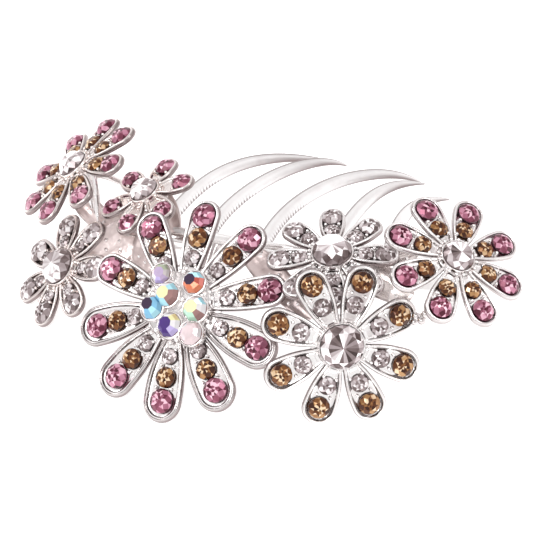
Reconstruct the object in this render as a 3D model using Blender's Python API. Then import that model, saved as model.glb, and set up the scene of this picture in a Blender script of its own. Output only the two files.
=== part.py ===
"""Decorative hair comb: a cast comb with five curved tines, a branch frame and seven rhinestone flowers.

All dimensions are millimetres; MM turns them into metres.  The flowers are laid out on the "face" of
the comb: u runs to the right along the face, v runs up it, and n points out of it, away from the hair.
The face is an empty that leans back, so that the comb lies on its tine tips and its lowest petals.
"""
import bpy
import bmesh
from collections import namedtuple
from math import cos, pi, radians, sin
from mathutils import Matrix, Vector

MM = 0.001

# How the face stands on the surface: lean back about X and roll about Y, degrees.
FACE_LEAN = 48.8
FACE_ROLL = 5.76
FACE_ORIGIN = (2.54, -14.58, 17.70)

# Comb bar: an arc that wraps the head, seen from above.
BAR_RADIUS = 60.0
BAR_APEX_U = 24.3
BAR_BACK = -6.5
BAR_V_AT_ZERO = 2.9
BAR_SLOPE = -0.17
BAR_START = -50.0
BAR_END = -2.0
BAR_STEPS = 16
BAR_HALF_HEIGHT = 1.6
BAR_HALF_THICKNESS = 0.8

# Tines: the angle of each root on the bar, then two curve handles and the tip on the face (u, v),
# and the depth of the tip.
Tine = namedtuple("Tine", "root handle_a handle_b tip depth")
TINES = (
    Tine(-43.0, (-11.6, 12.7), (-6.3, 19.1), (9.3, 16.2), -42.0),
    Tine(-34.5, (-7.8, 11.0), (4.0, 18.1), (10.2, 15.8), -38.0),
    Tine(-26.0, (1.0, 12.2), (13.9, 16.6), (20.8, 13.4), -38.0),
    Tine(-17.5, (10.8, 7.9), (13.0, 13.7), (21.3, 13.1), -34.5),
    Tine(-9.0, (16.6, 6.3), (17.5, 11.1), (24.8, 10.9), -35.5),
)
TINE_STATIONS = 13
TINE_SIDES = 6
TINE_HALF_WIDTH = 1.05
TINE_HALF_DEPTH = 0.8
TINE_TIP_SCALE = 0.16

# Petals: heights above a flower's back.
FLOOR_TOP = 0.45
RIM_TOP = 0.85
BED_BOTTOM = 0.52
BED_TOP = 0.96
STONE_BOTTOM = 0.90
STONE_HEIGHT = 0.8
STONE_TABLE = 0.6
RIM_WIDTH = 0.42
BED_CLEARANCE = 0.12
ARC_STEPS = 4
UPPER_PETAL_TRIM = 0.55
STONE_SIDES = 8
WEB_OVERLAP = 1.5
WEB_BOTTOM = 0.88
WEB_TOP = 1.10
HUB_TAPER = 0.94

# Centre stones: a pavilion below the girdle, then a crown up to the table.
CENTRE_GAP = 0.15
CENTRE_GAP_OVER_WEB = 0.40
PAVILION_SHARE = 0.9
GIRDLE_HEIGHT = 0.35
CROWN_HEIGHT = 0.28
CROWN_LIFT = 0.3
TABLE_SHARE = 0.58

Stone = namedtuple("Stone", "colour radius at")
Flower = namedtuple("Flower", "name centre tilt toward spin petals dome base_radius base_half "
                              "tip_half hub_top stones centre_stone grouped")
FLOWERS = (
    Flower("big_flower", (-12.8, -4.4, -8.0), 29.6, 149.0, 4.1, 10, 0.005, 4.9, 1.5, 2.9, 1.5,
           (Stone("pink", 1.72, 13.2), Stone("topaz", 1.45, 9.95), Stone("clear", 1.15, 7.05)),
           0.0, False),
    Flower("amber_flower", (8.8, -9.4, 1.0), 11.0, -48.0, 25.8, 8, 0.007, 3.3, 1.3, 2.35, 1.0,
           (Stone("topaz", 1.5, 9.0), Stone("clear", 1.25, 5.8)), 3.0, False),
    Flower("right_flower", (24.2, 2.0, 0.0), 36.0, 54.0, 29.1, 8, 0.007, 2.7, 1.05, 2.25, 1.0,
           (Stone("pink", 1.55, 8.1), Stone("topaz", 1.25, 4.95)), 2.25, False),
    Flower("clear_flower", (7.8, 2.4, -4.5), 42.0, 96.0, 0.0, 8, 0.007, 2.9, 1.1, 1.8, 1.0,
           (Stone("clear", 1.5, 7.3), Stone("clear", 1.15, 4.55)), 2.7, False),
    Flower("upper_left_flower", (-27.8, 14.9, -26.0), 65.0, 133.0, 5.9, 8, 0.007, 2.6, 0.95, 2.05, 0.85,
           (Stone("pink", 1.6, 8.0), Stone("topaz", 1.3, 4.75)), 2.2, True),
    Flower("left_flower", (-29.7, 0.8, -24.0), 50.0, 151.0, 32.1, 7, 0.007, 2.9, 1.3, 2.0, 0.85,
           (Stone("clear", 1.6, 6.7), Stone("clear", 0.9, 4.2)), 2.6, True),
    Flower("small_pink_flower", (-17.9, 11.1, -21.0), 54.8, 122.5, -2.0, 6, 0.010, 2.2, 1.1, 1.8, 0.85,
           (Stone("pink", 1.45, 5.5),), 2.05, True),
)
BIG = FLOWERS[0]

# Iridescent cluster of the big flower: place on its hub (x, y) and radius.
CLUSTER_STONES = (
    ((-1.1, 1.6), 1.55),
    ((2.8, 2.7), 1.60),
    ((3.0, -1.1), 1.75),
    ((-3.6, -0.1), 1.42),
    ((-0.9, -2.9), 1.75),
    ((2.4, -4.2), 1.35),
    ((-2.1, 4.6), 1.45),
)

# Branch frame: pads behind the flowers, stems to the spine, leaves and links.
PAD_HALF = 2.0
PAD_BACK_HALF = 2.1
PAD_THICKNESS = 0.7
SOLDER_GAP = 0.2
STEM_HALF = 0.65
SPINE_AHEAD = 2.3

# Leaves: where each grows from the spine (angle), its tip on the face (u, v, n) and its half width.
Leaf = namedtuple("Leaf", "angle tip half_width")
LEAVES = (
    Leaf(-46.0, (-26.6, 1.7, -23.6), 2.6),
    Leaf(-43.0, (-14.9, 2.5, -17.6), 1.6),
    Leaf(-40.0, (-17.4, 10.8, -21.8), 1.4),
    Leaf(-28.0, (4.8, -5.6, -0.6), 1.5),
    Leaf(-12.0, (18.9, -2.8, -1.6), 1.9),
)
LEAF_STATIONS = 7
LEAF_HALF_THICKNESS = 0.4

# Links: thin bars of the frame, each by way of three places on the face, and their half thickness.
LINKS = (
    ((-26.3, 14.8, -27.4), (-25.2, 12.0, -27.4), (-25.0, 6.9, -28.4)),
    ((-26.0, 14.3, -27.5), (-21.5, 13.0, -28.0), (-17.5, 10.3, -23.4)),
    ((-3.9, 3.7, -11.2), (0.4, 4.3, -8.8), (6.6, 2.6, -6.0)),
)
LINK_HALF = 0.5


def wipe_scene():
    """Start from nothing."""
    for item in list(bpy.data.objects):
        bpy.data.objects.remove(item, do_unlink=True)


def make_material(name, colour, roughness, metallic):
    """A plain Principled material."""
    material = bpy.data.materials.new(name)
    material.use_nodes = True
    shader = material.node_tree.nodes["Principled BSDF"]
    shader.inputs["Base Color"].default_value = (*colour, 1.0)
    shader.inputs["Roughness"].default_value = roughness
    shader.inputs["Metallic"].default_value = metallic
    return material


def make_object(name, shape, material, parent):
    """Turn a bmesh into a named object under the given empty."""
    bmesh.ops.recalc_face_normals(shape, faces=shape.faces)
    mesh = bpy.data.meshes.new(name)
    shape.to_mesh(mesh)
    shape.free()
    item = bpy.data.objects.new(name, mesh)
    bpy.context.scene.collection.objects.link(item)
    mesh.materials.append(material)
    item.parent = parent
    return item


def make_empty(name, matrix, parent):
    """An empty that carries the objects of one group."""
    empty = bpy.data.objects.new(name, None)
    bpy.context.scene.collection.objects.link(empty)
    empty.parent = parent
    empty.matrix_local = matrix
    return empty


def union(name, pieces, material, parent):
    """Join overlapping objects into one closed body and remove the originals."""
    target = pieces[0]
    for extra in pieces[1:]:
        join = target.modifiers.new("join", "BOOLEAN")
        join.operation = "UNION"
        join.object = extra
    bpy.context.view_layer.update()
    graph = bpy.context.evaluated_depsgraph_get()
    mesh = bpy.data.meshes.new_from_object(target.evaluated_get(graph))
    for piece in pieces:
        bpy.data.objects.remove(piece, do_unlink=True)
    mesh.name = name
    mesh.materials.clear()
    mesh.materials.append(material)
    item = bpy.data.objects.new(name, mesh)
    bpy.context.scene.collection.objects.link(item)
    item.parent = parent
    return item


def loop_faces(shape, lower, upper, closed=True):
    """Join two rows of vertices with quads."""
    count = len(lower)
    for i in range(count if closed else count - 1):
        j = (i + 1) % count
        shape.faces.new((lower[i], lower[j], upper[j], upper[i]))


def sweep(name, points, sides, material, parent):
    """A closed tube: each point gives its place and the two half-axes of its section."""
    shape = bmesh.new()
    rings = []
    for place, across, up in points:
        ring = []
        for i in range(sides):
            angle = 2 * pi * (i + 0.5) / sides
            ring.append(shape.verts.new((place + across * cos(angle) + up * sin(angle)) * MM))
        rings.append(ring)
    for lower, upper in zip(rings, rings[1:]):
        loop_faces(shape, lower, upper)
    shape.faces.new(rings[0])
    shape.faces.new(rings[-1])
    return make_object(name, shape, material, parent)


def bar_point(angle):
    """Centre of the bar at an angle on its arc, on the face (u, v, n)."""
    turn = radians(angle)
    u = BAR_APEX_U + BAR_RADIUS * sin(turn)
    n = BAR_BACK - BAR_RADIUS * (1 - cos(turn))
    return Vector((u, BAR_V_AT_ZERO + BAR_SLOPE * u, n))


def bar_outward(angle):
    """Direction out of the head at an angle on the bar's arc."""
    turn = radians(angle)
    return Vector((sin(turn), 0, cos(turn)))


def bezier(points, share):
    """A point of a cubic Bezier curve."""
    rest = 1 - share
    weights = (rest ** 3, 3 * rest ** 2 * share, 3 * rest * share ** 2, share ** 3)
    return sum((point * weight for point, weight in zip(points, weights)), Vector((0, 0, 0)))


def tine_handles(tine):
    """The four Bezier points of a tine, on the face."""
    root = bar_point(tine.root)
    tip = Vector((*tine.tip, tine.depth))
    first = Vector((*tine.handle_a, root.z + (tip.z - root.z) / 3))
    second = Vector((*tine.handle_b, root.z + (tip.z - root.z) * 2 / 3))
    return root, first, second, tip


def build_tine(tine, material, parent):
    """One curved tine, which narrows to a point like a horn."""
    handles = tine_handles(tine)
    points = []
    for i in range(TINE_STATIONS):
        share = i / (TINE_STATIONS - 1)
        place = bezier(handles, share)
        ahead = bezier(handles, min(1.0, share + 0.02)) - bezier(handles, max(0.0, share - 0.02))
        ahead.normalize()
        outward = Vector((0, 0, 1))
        across = ahead.cross(outward).normalized()
        depth = across.cross(ahead).normalized()
        scale = (1 - share ** 3 * (1 - TINE_TIP_SCALE)) * (1 - 0.15 * share)
        points.append((place, across * TINE_HALF_WIDTH * scale, depth * TINE_HALF_DEPTH * scale))
    return sweep("tine", points, TINE_SIDES, material, parent)


def build_comb(material, parent):
    """The bar with its five tines, cast in one piece."""
    points = []
    upright = Vector((0, 1, 0))
    for i in range(BAR_STEPS + 1):
        angle = BAR_START + (BAR_END - BAR_START) * i / BAR_STEPS
        corner = 2 ** 0.5
        points.append((bar_point(angle), bar_outward(angle) * BAR_HALF_THICKNESS * corner,
                       upright * BAR_HALF_HEIGHT * corner))
    pieces = [sweep("bar", points, 4, material, parent)]
    pieces += [build_tine(tine, material, parent) for tine in TINES]
    return union("comb_casting", pieces, material, parent)


def flower_axes(flower):
    """A flower's own axes on the face: its x axis is the face's u axis laid into its plane."""
    tilt = radians(flower.tilt)
    toward = radians(flower.toward)
    normal = Vector((sin(tilt) * cos(toward), sin(tilt) * sin(toward), cos(tilt)))
    side = (Vector((1, 0, 0)) - normal * normal.x).normalized()
    return side, normal.cross(side), normal


def flower_matrix(flower):
    """Place of a flower's back on the face."""
    side, up, normal = flower_axes(flower)
    matrix = Matrix((side, up, normal)).transposed().to_4x4()
    matrix.translation = Vector(flower.centre) * MM
    return matrix


def petal_point(flower, number, along, across, height, flat_at=None):
    """A point of a petal in metres, on the flower's dome or on the dome's slope at one place along the petal."""
    angle = radians(flower.spin + 360 * number / flower.petals)
    x = along * cos(angle) - across * sin(angle)
    y = along * sin(angle) + across * cos(angle)
    drop = x * x + y * y if flat_at is None else flat_at * (2 * along - flat_at)
    return Vector((x, y, height - flower.dome * drop)) * MM


def petal_tip_half(flower, number):
    """Half the width of a petal's round tip: the big flower's upper petals hug their stones."""
    upper = flower is BIG and sin(radians(flower.spin + 360 * number / flower.petals)) > 0
    return flower.tip_half - UPPER_PETAL_TRIM * upper


def petal_outline(flower, number, margin):
    """Outline of a petal, set in by a margin: straight sides that widen to a round tip."""
    tip_half = petal_tip_half(flower, number)
    round_at = flower.stones[0].at
    start = flower.base_radius + margin
    middle = (start + round_at) / 2
    middle_half = (flower.base_half + tip_half) / 2 + 0.1 - margin
    outline = [(start, flower.base_half - margin * 0.8), (middle, middle_half)]
    radius = tip_half - margin
    for i in range(ARC_STEPS + 1):
        angle = pi / 2 - pi * i / ARC_STEPS
        outline.append((round_at + radius * cos(angle), radius * sin(angle)))
    outline += [(middle, -middle_half), (start, -flower.base_half + margin * 0.8)]
    return outline


def build_flower_casting(flower, material, parent):
    """A flower: spoon-shaped petals with a raised rim around a recess, on one hub."""
    shape = bmesh.new()
    hub_top = []
    hub_bottom = []
    for number in range(flower.petals):
        def ring(margin, height):
            return [shape.verts.new(petal_point(flower, number, along, across, height))
                    for along, across in petal_outline(flower, number, margin)]
        bottom = ring(0.0, 0.0)
        outer = ring(0.0, RIM_TOP)
        inner = ring(RIM_WIDTH, RIM_TOP)
        floor = ring(RIM_WIDTH, FLOOR_TOP)
        loop_faces(shape, bottom, outer, closed=False)
        loop_faces(shape, outer, inner)
        loop_faces(shape, inner, floor)
        shape.faces.new(floor)
        shape.faces.new(bottom)
        hub_top += [outer[-1], outer[0]]
        hub_bottom += [bottom[-1], bottom[0]]
    count = len(hub_top)
    for i in range(1, count, 2):
        j = (i + 1) % count
        shape.faces.new((hub_bottom[i], hub_bottom[j], hub_top[j], hub_top[i]))
    raised = []
    for vertex in hub_top:
        place = vertex.co * HUB_TAPER
        place.z = flower.hub_top * MM
        raised.append(shape.verts.new(place))
    loop_faces(shape, hub_top, raised)
    shape.faces.new(raised)
    shape.faces.new(hub_bottom)
    return make_object(flower.name + "_casting", shape, material, parent)


def stone_rings(shape, place, rings, sides=STONE_SIDES):
    """A closed faceted body: (radius, height) pairs from the bottom up."""
    rows = []
    for radius, height in rings:
        row = []
        for i in range(sides):
            angle = 2 * pi * (i + 0.5) / sides
            row.append(shape.verts.new(place(radius * cos(angle), radius * sin(angle), height)))
        rows.append(row)
    for lower, upper in zip(rows, rows[1:]):
        loop_faces(shape, lower, upper)
    shape.faces.new(rows[0])
    shape.faces.new(rows[-1])


def build_row_pieces(flower, number, material, parent):
    """The adhesive bed and the stones of one petal, as loose pieces for a union."""
    bed = bmesh.new()
    outline = petal_outline(flower, number, RIM_WIDTH + BED_CLEARANCE)
    middle = (flower.base_radius + flower.stones[0].at) / 2
    lower = [bed.verts.new(petal_point(flower, number, x, y, BED_BOTTOM, middle)) for x, y in outline]
    upper = [bed.verts.new(petal_point(flower, number, x, y, BED_TOP, middle)) for x, y in outline]
    loop_faces(bed, lower, upper)
    bed.faces.new(lower)
    bed.faces.new(upper)
    pieces = [make_object("bed", bed, material, parent)]
    for stone in flower.stones:
        shape = bmesh.new()

        def place(x, y, height):
            return petal_point(flower, number, stone.at + x, y, height, stone.at)

        stone_rings(shape, place, (
            (stone.radius, STONE_BOTTOM),
            (stone.radius * STONE_TABLE, STONE_BOTTOM + STONE_HEIGHT),
        ))
        pieces.append(make_object("stone", shape, material, parent))
    return pieces


def build_petal_stones(flower, materials, parent):
    """The stones in a flower's petals: one node per petal, or one ring on a small flower."""
    material = materials[flower.stones[0].colour]
    if not flower.grouped:
        for number in range(flower.petals):
            pieces = build_row_pieces(flower, number, material, parent)
            union("%s_stones_%02d" % (flower.name, number + 1), pieces, material, parent)
        return
    reach = flower.base_radius + WEB_OVERLAP
    web = bmesh.new()
    stone_rings(web, lambda x, y, z: Vector((x, y, z)) * MM,
                ((reach, WEB_BOTTOM), (reach, WEB_TOP)), sides=2 * flower.petals)
    pieces = [make_object("web", web, material, parent)]
    for number in range(flower.petals):
        pieces += build_row_pieces(flower, number, material, parent)
    union(flower.name + "_stone_ring", pieces, material, parent)


def build_cut_stone(name, x, y, bottom, radius, material, parent):
    """A round stone with a girdle, a crown and a table."""
    shape = bmesh.new()
    girdle = bottom + GIRDLE_HEIGHT * radius
    table = girdle + CROWN_HEIGHT * radius + CROWN_LIFT

    def place(along, across, height):
        return Vector((x + along, y + across, height)) * MM

    stone_rings(shape, place, (
        (radius * PAVILION_SHARE, bottom), (radius, girdle), (radius * TABLE_SHARE, table)))
    return make_object(name, shape, material, parent)


def build_centre_stones(flower, materials, parent):
    """The large stone on a hub, or the big flower's cluster."""
    bottom = flower.hub_top + (CENTRE_GAP_OVER_WEB if flower.grouped else CENTRE_GAP)
    if flower is BIG:
        for number, (spot, radius) in enumerate(CLUSTER_STONES):
            build_cut_stone("cluster_stone_%d" % (number + 1), spot[0], spot[1], bottom, radius,
                            materials["iridescent"], parent)
        return
    build_cut_stone(flower.name + "_centre_stone", 0, 0, bottom, flower.centre_stone,
                    materials["clear"], parent)


def build_leaf(leaf, material, parent):
    """A flat pointed leaf from the spine to its tip."""
    root = bar_point(leaf.angle) + bar_outward(leaf.angle) * SPINE_AHEAD
    run = Vector(leaf.tip) - root
    outward = Vector((0, 0, 1))
    across = run.cross(outward).normalized()
    face = across.cross(run).normalized()
    points = []
    for i in range(LEAF_STATIONS):
        share = i / (LEAF_STATIONS - 1)
        half = leaf.half_width * (0.25 + 0.75 * sin(pi * min(1.0, share * 1.05)) ** 0.7)
        points.append((root + run * share, across * half, face * LEAF_HALF_THICKNESS))
    return sweep("leaf", points, 6, material, parent)


def build_link(route, material, parent):
    """A thin bar of the frame along a bent route."""
    places = [Vector(place) for place in route]
    reach = (places[2] - places[0]).normalized()
    across = reach.cross(Vector((0, 0, 1))).normalized() * LINK_HALF
    rise = across.cross(reach).normalized() * LINK_HALF
    return sweep("link", [(place, across, rise) for place in places], 6, material, parent)


def build_branch_frame(material, parent):
    """Spine, stems, solder pads, leaves and links behind the flowers, in one piece."""
    spine = []
    upright = Vector((0, 1, 0))
    pieces = []
    for i in range(BAR_STEPS + 1):
        angle = BAR_START - 3 + (BAR_END - 4 - BAR_START + 3) * i / BAR_STEPS
        outward = bar_outward(angle)
        spine.append((bar_point(angle) + outward * SPINE_AHEAD, outward * STEM_HALF * 1.2,
                      upright * STEM_HALF * 1.6))
    pieces.append(sweep("spine", spine, 6, material, parent))
    for flower in FLOWERS:
        side, up, normal = flower_axes(flower)
        centre = Vector(flower.centre)
        top = centre - normal * SOLDER_GAP
        back = top - normal * PAD_THICKNESS
        pieces.append(sweep("pad", ((top, side * PAD_HALF, up * PAD_HALF),
                                    (back, side * PAD_BACK_HALF, up * PAD_BACK_HALF)), 8, material, parent))
        nearest = min((item[0] for item in spine), key=lambda point: (point - back).length)
        inner = top - normal * (PAD_THICKNESS * 0.5)
        reach = (nearest - inner).normalized()
        across = reach.cross(up).normalized() * STEM_HALF
        rise = across.cross(reach).normalized() * STEM_HALF
        middle = (inner - normal * 1.5 + nearest) / 2
        pieces.append(sweep("stem", ((inner, across, rise), (middle, across, rise), (nearest, across, rise)),
                            6, material, parent))
    pieces += [build_leaf(leaf, material, parent) for leaf in LEAVES]
    pieces += [build_link(route, material, parent) for route in LINKS]
    return union("branch_frame", pieces, material, parent)


def main():
    wipe_scene()
    silver = make_material("plated_silver", (0.86, 0.84, 0.83), 0.2, 1.0)
    materials = {
        "pink": make_material("pink_stone", (0.75, 0.25, 0.42), 0.05, 0.3),
        "topaz": make_material("topaz_stone", (0.45, 0.24, 0.08), 0.05, 0.3),
        "clear": make_material("clear_stone", (0.75, 0.73, 0.73), 0.05, 0.3),
        "iridescent": make_material("iridescent_stone", (0.5, 0.6, 0.85), 0.05, 0.3),
    }
    roll = Matrix.Rotation(radians(FACE_ROLL), 4, "Y")
    lean = Matrix.Rotation(radians(FACE_LEAN), 4, "X")
    place = Matrix.Translation(Vector(FACE_ORIGIN) * MM)
    face = make_empty("face", place @ roll @ lean, None)
    build_comb(silver, face)
    build_branch_frame(silver, face)
    for flower in FLOWERS:
        holder = make_empty(flower.name, flower_matrix(flower), face)
        build_flower_casting(flower, silver, holder)
        build_petal_stones(flower, materials, holder)
        build_centre_stones(flower, materials, holder)


main()
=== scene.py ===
"""Decorative hair comb: fine castings, faceted stones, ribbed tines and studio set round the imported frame.

Lengths are millimetres unless a comment says metres; MM turns them into metres.  The flowers are laid
out on the face of the comb, as in the frame: u runs right along it, v runs up it and n points out of it.
"""
from collections import namedtuple
from math import cos, pi, radians, sin
from random import Random

import bmesh
import bpy
from mathutils import Matrix, Vector


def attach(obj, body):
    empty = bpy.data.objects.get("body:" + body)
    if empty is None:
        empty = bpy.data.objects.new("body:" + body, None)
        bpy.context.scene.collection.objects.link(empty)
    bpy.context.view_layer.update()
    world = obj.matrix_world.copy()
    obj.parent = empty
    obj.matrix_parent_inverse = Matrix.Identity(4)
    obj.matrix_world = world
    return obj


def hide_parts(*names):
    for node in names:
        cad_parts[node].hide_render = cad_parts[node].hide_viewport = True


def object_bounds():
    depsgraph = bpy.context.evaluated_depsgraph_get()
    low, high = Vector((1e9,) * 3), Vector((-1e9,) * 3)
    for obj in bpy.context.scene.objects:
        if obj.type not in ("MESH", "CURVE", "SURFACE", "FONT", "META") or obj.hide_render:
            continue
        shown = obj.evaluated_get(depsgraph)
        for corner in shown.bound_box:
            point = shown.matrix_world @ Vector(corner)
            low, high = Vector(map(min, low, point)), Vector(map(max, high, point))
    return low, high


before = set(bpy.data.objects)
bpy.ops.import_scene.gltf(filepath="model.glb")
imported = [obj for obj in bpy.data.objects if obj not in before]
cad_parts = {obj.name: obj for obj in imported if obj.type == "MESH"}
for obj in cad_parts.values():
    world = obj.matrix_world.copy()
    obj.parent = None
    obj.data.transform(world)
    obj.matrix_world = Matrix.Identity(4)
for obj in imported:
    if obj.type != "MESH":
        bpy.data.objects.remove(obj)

MM = 0.001
CAD_BOX = [list(corner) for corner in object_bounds()]
SEED = 11
SHARP_ANGLE = 50.0
TUBE_SIDES = 16

# The face: its lean, roll and origin, the same as in the frame.
FACE_LEAN = 48.8
FACE_ROLL = 5.76
FACE_ORIGIN = (2.54, -14.58, 17.70)
FACE = (Matrix.Translation(Vector(FACE_ORIGIN) * MM) @ Matrix.Rotation(radians(FACE_ROLL), 4, "Y")
        @ Matrix.Rotation(radians(FACE_LEAN), 4, "X"))
RIGHT = Vector((1, 0, 0))
UP = Vector((0, 1, 0))
OUT = Vector((0, 0, 1))

# Camera: square on to the face, with a long lens; its distance and clip start are in metres.
CAMERA_DISTANCE = 0.6
VIEW_WIDTH = 74.46
SENSOR_WIDTH = 36.0
CLIP_START = 0.01

# Comb bar.
BAR_RADIUS = 60.0
BAR_APEX_U = 24.3
BAR_BACK = -6.5
BAR_V_AT_ZERO = 2.9
BAR_SLOPE = -0.17
BAR_START = -50.0
BAR_END = -2.0
BAR_HALF_HEIGHT = 1.6
BAR_HALF_THICKNESS = 0.8
BAR_CORNER = 0.35
BAR_CORNER_STEPS = 3
BAR_STEPS = 60
BAR_END_STEEPNESS = 26
BAR_END_SCALE = 0.55

# Tines: each one's place on the bar in degrees, its curve on the face and how deep its tip lies.
Tine = namedtuple("Tine", "root handle_a handle_b tip depth")
TINES = (
    Tine(-43.0, (-11.6, 12.7), (-6.3, 19.1), (9.3, 16.2), -42.0),
    Tine(-34.5, (-7.8, 11.0), (4.0, 18.1), (10.2, 15.8), -38.0),
    Tine(-26.0, (1.0, 12.2), (13.9, 16.6), (20.8, 13.4), -38.0),
    Tine(-17.5, (10.8, 7.9), (13.0, 13.7), (21.3, 13.1), -34.5),
    Tine(-9.0, (16.6, 6.3), (17.5, 11.1), (24.8, 10.9), -35.5),
)
TINE_HALF_WIDTH = 1.05
TINE_HALF_DEPTH = 0.8
TINE_TIP_SCALE = 0.12
TINE_TAPER_POWER = 4.5
TINE_THINNING = 0.10
TINE_STATIONS = 440
TINE_SIDES = 32
TANGENT_REACH = 0.01
RIB_PITCH = 0.64
RIB_STOPS = (15.5, 14.0, 13.0, 9.0, 5.0)
RIB_FADE = 3.0
RIB_STEEPNESS = 3.2
RIB_DEPTH = 0.36

# Painted shade on a tine, mixed into its colour: in its notches, on its two edges, under its far half and
# lightly all round that half.
NOTCH_SHADE = 0.9
UPPER_EDGE_SHADE = 0.75
LOWER_EDGE_SHADE = 0.5
BELLY_SHADE = 0.7
BLUSH_SHADE = 0.24
TINE_MOST_SHADE = 0.92
UPPER_EDGE_START = 0.74
UPPER_EDGE_FADE = 0.12
LOWER_EDGE_START = 0.76
LOWER_EDGE_FADE = 0.14
BELLY_START = 0.42
BELLY_RISE = 2.6
BELLY_WRAP = 0.25
BELLY_TIP_WRAP = 0.3
BLUSH_START = 0.5
BLUSH_RISE = 3

# Collars where the tines leave the bar: steps up from it, half width, its loss per step, half depth.
COLLAR_STEPS = (0.4, 1.0, 1.5, 1.9)
COLLAR_HALF_WIDTH = 1.5
COLLAR_TAPER = 0.2
COLLAR_HALF_DEPTH = 0.95

# Flowers, as in the frame.
Stone = namedtuple("Stone", "colour radius at")
Flower = namedtuple("Flower", "name centre tilt toward spin petals dome base_radius base_half "
                              "tip_half hub_top stones centre_stone grouped")
FLOWERS = (
    Flower("big_flower", (-12.8, -4.4, -8.0), 29.6, 149.0, 4.1, 10, 0.005, 4.9, 1.5, 2.9, 1.5,
           (Stone("pink", 1.72, 13.2), Stone("topaz", 1.45, 9.95), Stone("clear", 1.15, 7.05)),
           0.0, False),
    Flower("amber_flower", (8.8, -9.4, 1.0), 11.0, -48.0, 25.8, 8, 0.007, 3.3, 1.3, 2.35, 1.0,
           (Stone("topaz", 1.5, 9.0), Stone("clear", 1.25, 5.8)), 3.0, False),
    Flower("right_flower", (24.2, 2.0, 0.0), 36.0, 54.0, 29.1, 8, 0.007, 2.7, 1.05, 2.25, 1.0,
           (Stone("pink", 1.55, 8.1), Stone("topaz", 1.25, 4.95)), 2.25, False),
    Flower("clear_flower", (7.8, 2.4, -4.5), 42.0, 96.0, 0.0, 8, 0.007, 2.9, 1.1, 1.8, 1.0,
           (Stone("clear", 1.5, 7.3), Stone("clear", 1.15, 4.55)), 2.7, False),
    Flower("upper_left_flower", (-27.8, 14.9, -26.0), 65.0, 133.0, 5.9, 8, 0.007, 2.6, 0.95, 2.05, 0.85,
           (Stone("pink", 1.6, 8.0), Stone("topaz", 1.3, 4.75)), 2.2, True),
    Flower("left_flower", (-29.7, 0.8, -24.0), 50.0, 151.0, 32.1, 7, 0.007, 2.9, 1.3, 2.0, 0.85,
           (Stone("clear", 1.6, 6.7), Stone("clear", 0.9, 4.2)), 2.6, True),
    Flower("small_pink_flower", (-17.9, 11.1, -21.0), 54.8, 122.5, -2.0, 6, 0.010, 2.2, 1.1, 1.8, 0.85,
           (Stone("pink", 1.45, 5.5),), 2.05, True),
)
BIG = FLOWERS[0]

# Petal section from the underside round the rim to the floor: set-in from the edge, height, painted shade.
PETAL_WALL = ((0.30, 0.00, 0.30), (0.10, 0.04, 0.45), (0.01, 0.18, 0.80), (0.00, 0.42, 0.90),
              (0.04, 0.60, 0.85))
SINGLE_RIM = ((0.11, 0.75, 0.55), (0.19, 0.83, 0.05), (0.36, 0.85, 0.0), (0.46, 0.80, 0.05),
              (0.52, 0.68, 0.40), (0.57, 0.54, 0.12), (0.64, 0.46, 0.0), (0.90, 0.43, 0.0),
              (1.10, 0.42, 0.0))
DOUBLE_RIM = ((0.13, 0.74, 0.70), (0.21, 0.82, 0.42), (0.30, 0.83, 0.25), (0.36, 0.70, 0.65),
              (0.42, 0.68, 0.50), (0.48, 0.77, 0.10), (0.60, 0.78, 0.08), (0.67, 0.66, 0.45),
              (0.72, 0.50, 0.40), (0.80, 0.45, 0.0), (1.00, 0.43, 0.0), (1.15, 0.42, 0.0))
# How much of its petals' painted shade each flower keeps; the others keep all of it.
PALE_PAINTED_SHADE = {"right_flower": 0.6}
PETAL_SIDE_STEPS = 9
PETAL_ARC_STEPS = 18
PETAL_BASE_HIDDEN = 1.2
PETAL_LEAST_HALF = 0.1
PETAL_SWELL = 0.28
WIDE_PETAL_SWELL = 0.45
UPPER_PETAL_TRIM = 0.55

# Hubs, the skirts that join their petals, the cups round their stones and the grains of silver.
HUB_MARGIN = 0.1
HUB_DROP = 0.05
# How far each hub drum's colour is darkened, all over.
HUB_DARKENING = 0.36
SKIRT_REACH = 1.27
HUB_SIDES = 40
SKIRT_SIDES = 60
CUP_SIDES = 32
CUP_LOW = 0.5
CUP_RISE = 0.5
JEWEL_CUP_SIDES = 24
JEWEL_CUP_LOW = 1.2
JEWEL_CUP_HIGH = 2.15
GRAIN_RADIUS = 0.26
GRAIN_SIDES = 8
GRAIN_STEPS = 6
GRAIN_POLE = 0.02
GRAIN_LIFT = 0.25
GRAIN_SPREAD = 0.78
LAST_GRAIN_BACK = 0.9
LAST_GRAIN_SPREAD = 0.72
CENTRE_GRAIN_GAP = 0.5
CENTRE_GRAIN_LIFT = 0.1
HUB_GRAIN_RADIUS = 0.34
HUB_GRAIN_OUT = 0.35
HUB_GRAIN_DROPS = (0.1, 0.4)
CLUSTER_GRAIN_RADIUS = 0.4
CLUSTER_GRAINS = ((0.9, 0.6), (1.0, 4.6), (-3.6, 2.6), (0.9, -0.9), (4.3, 1.0), (-3.1, -3.2))

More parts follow.
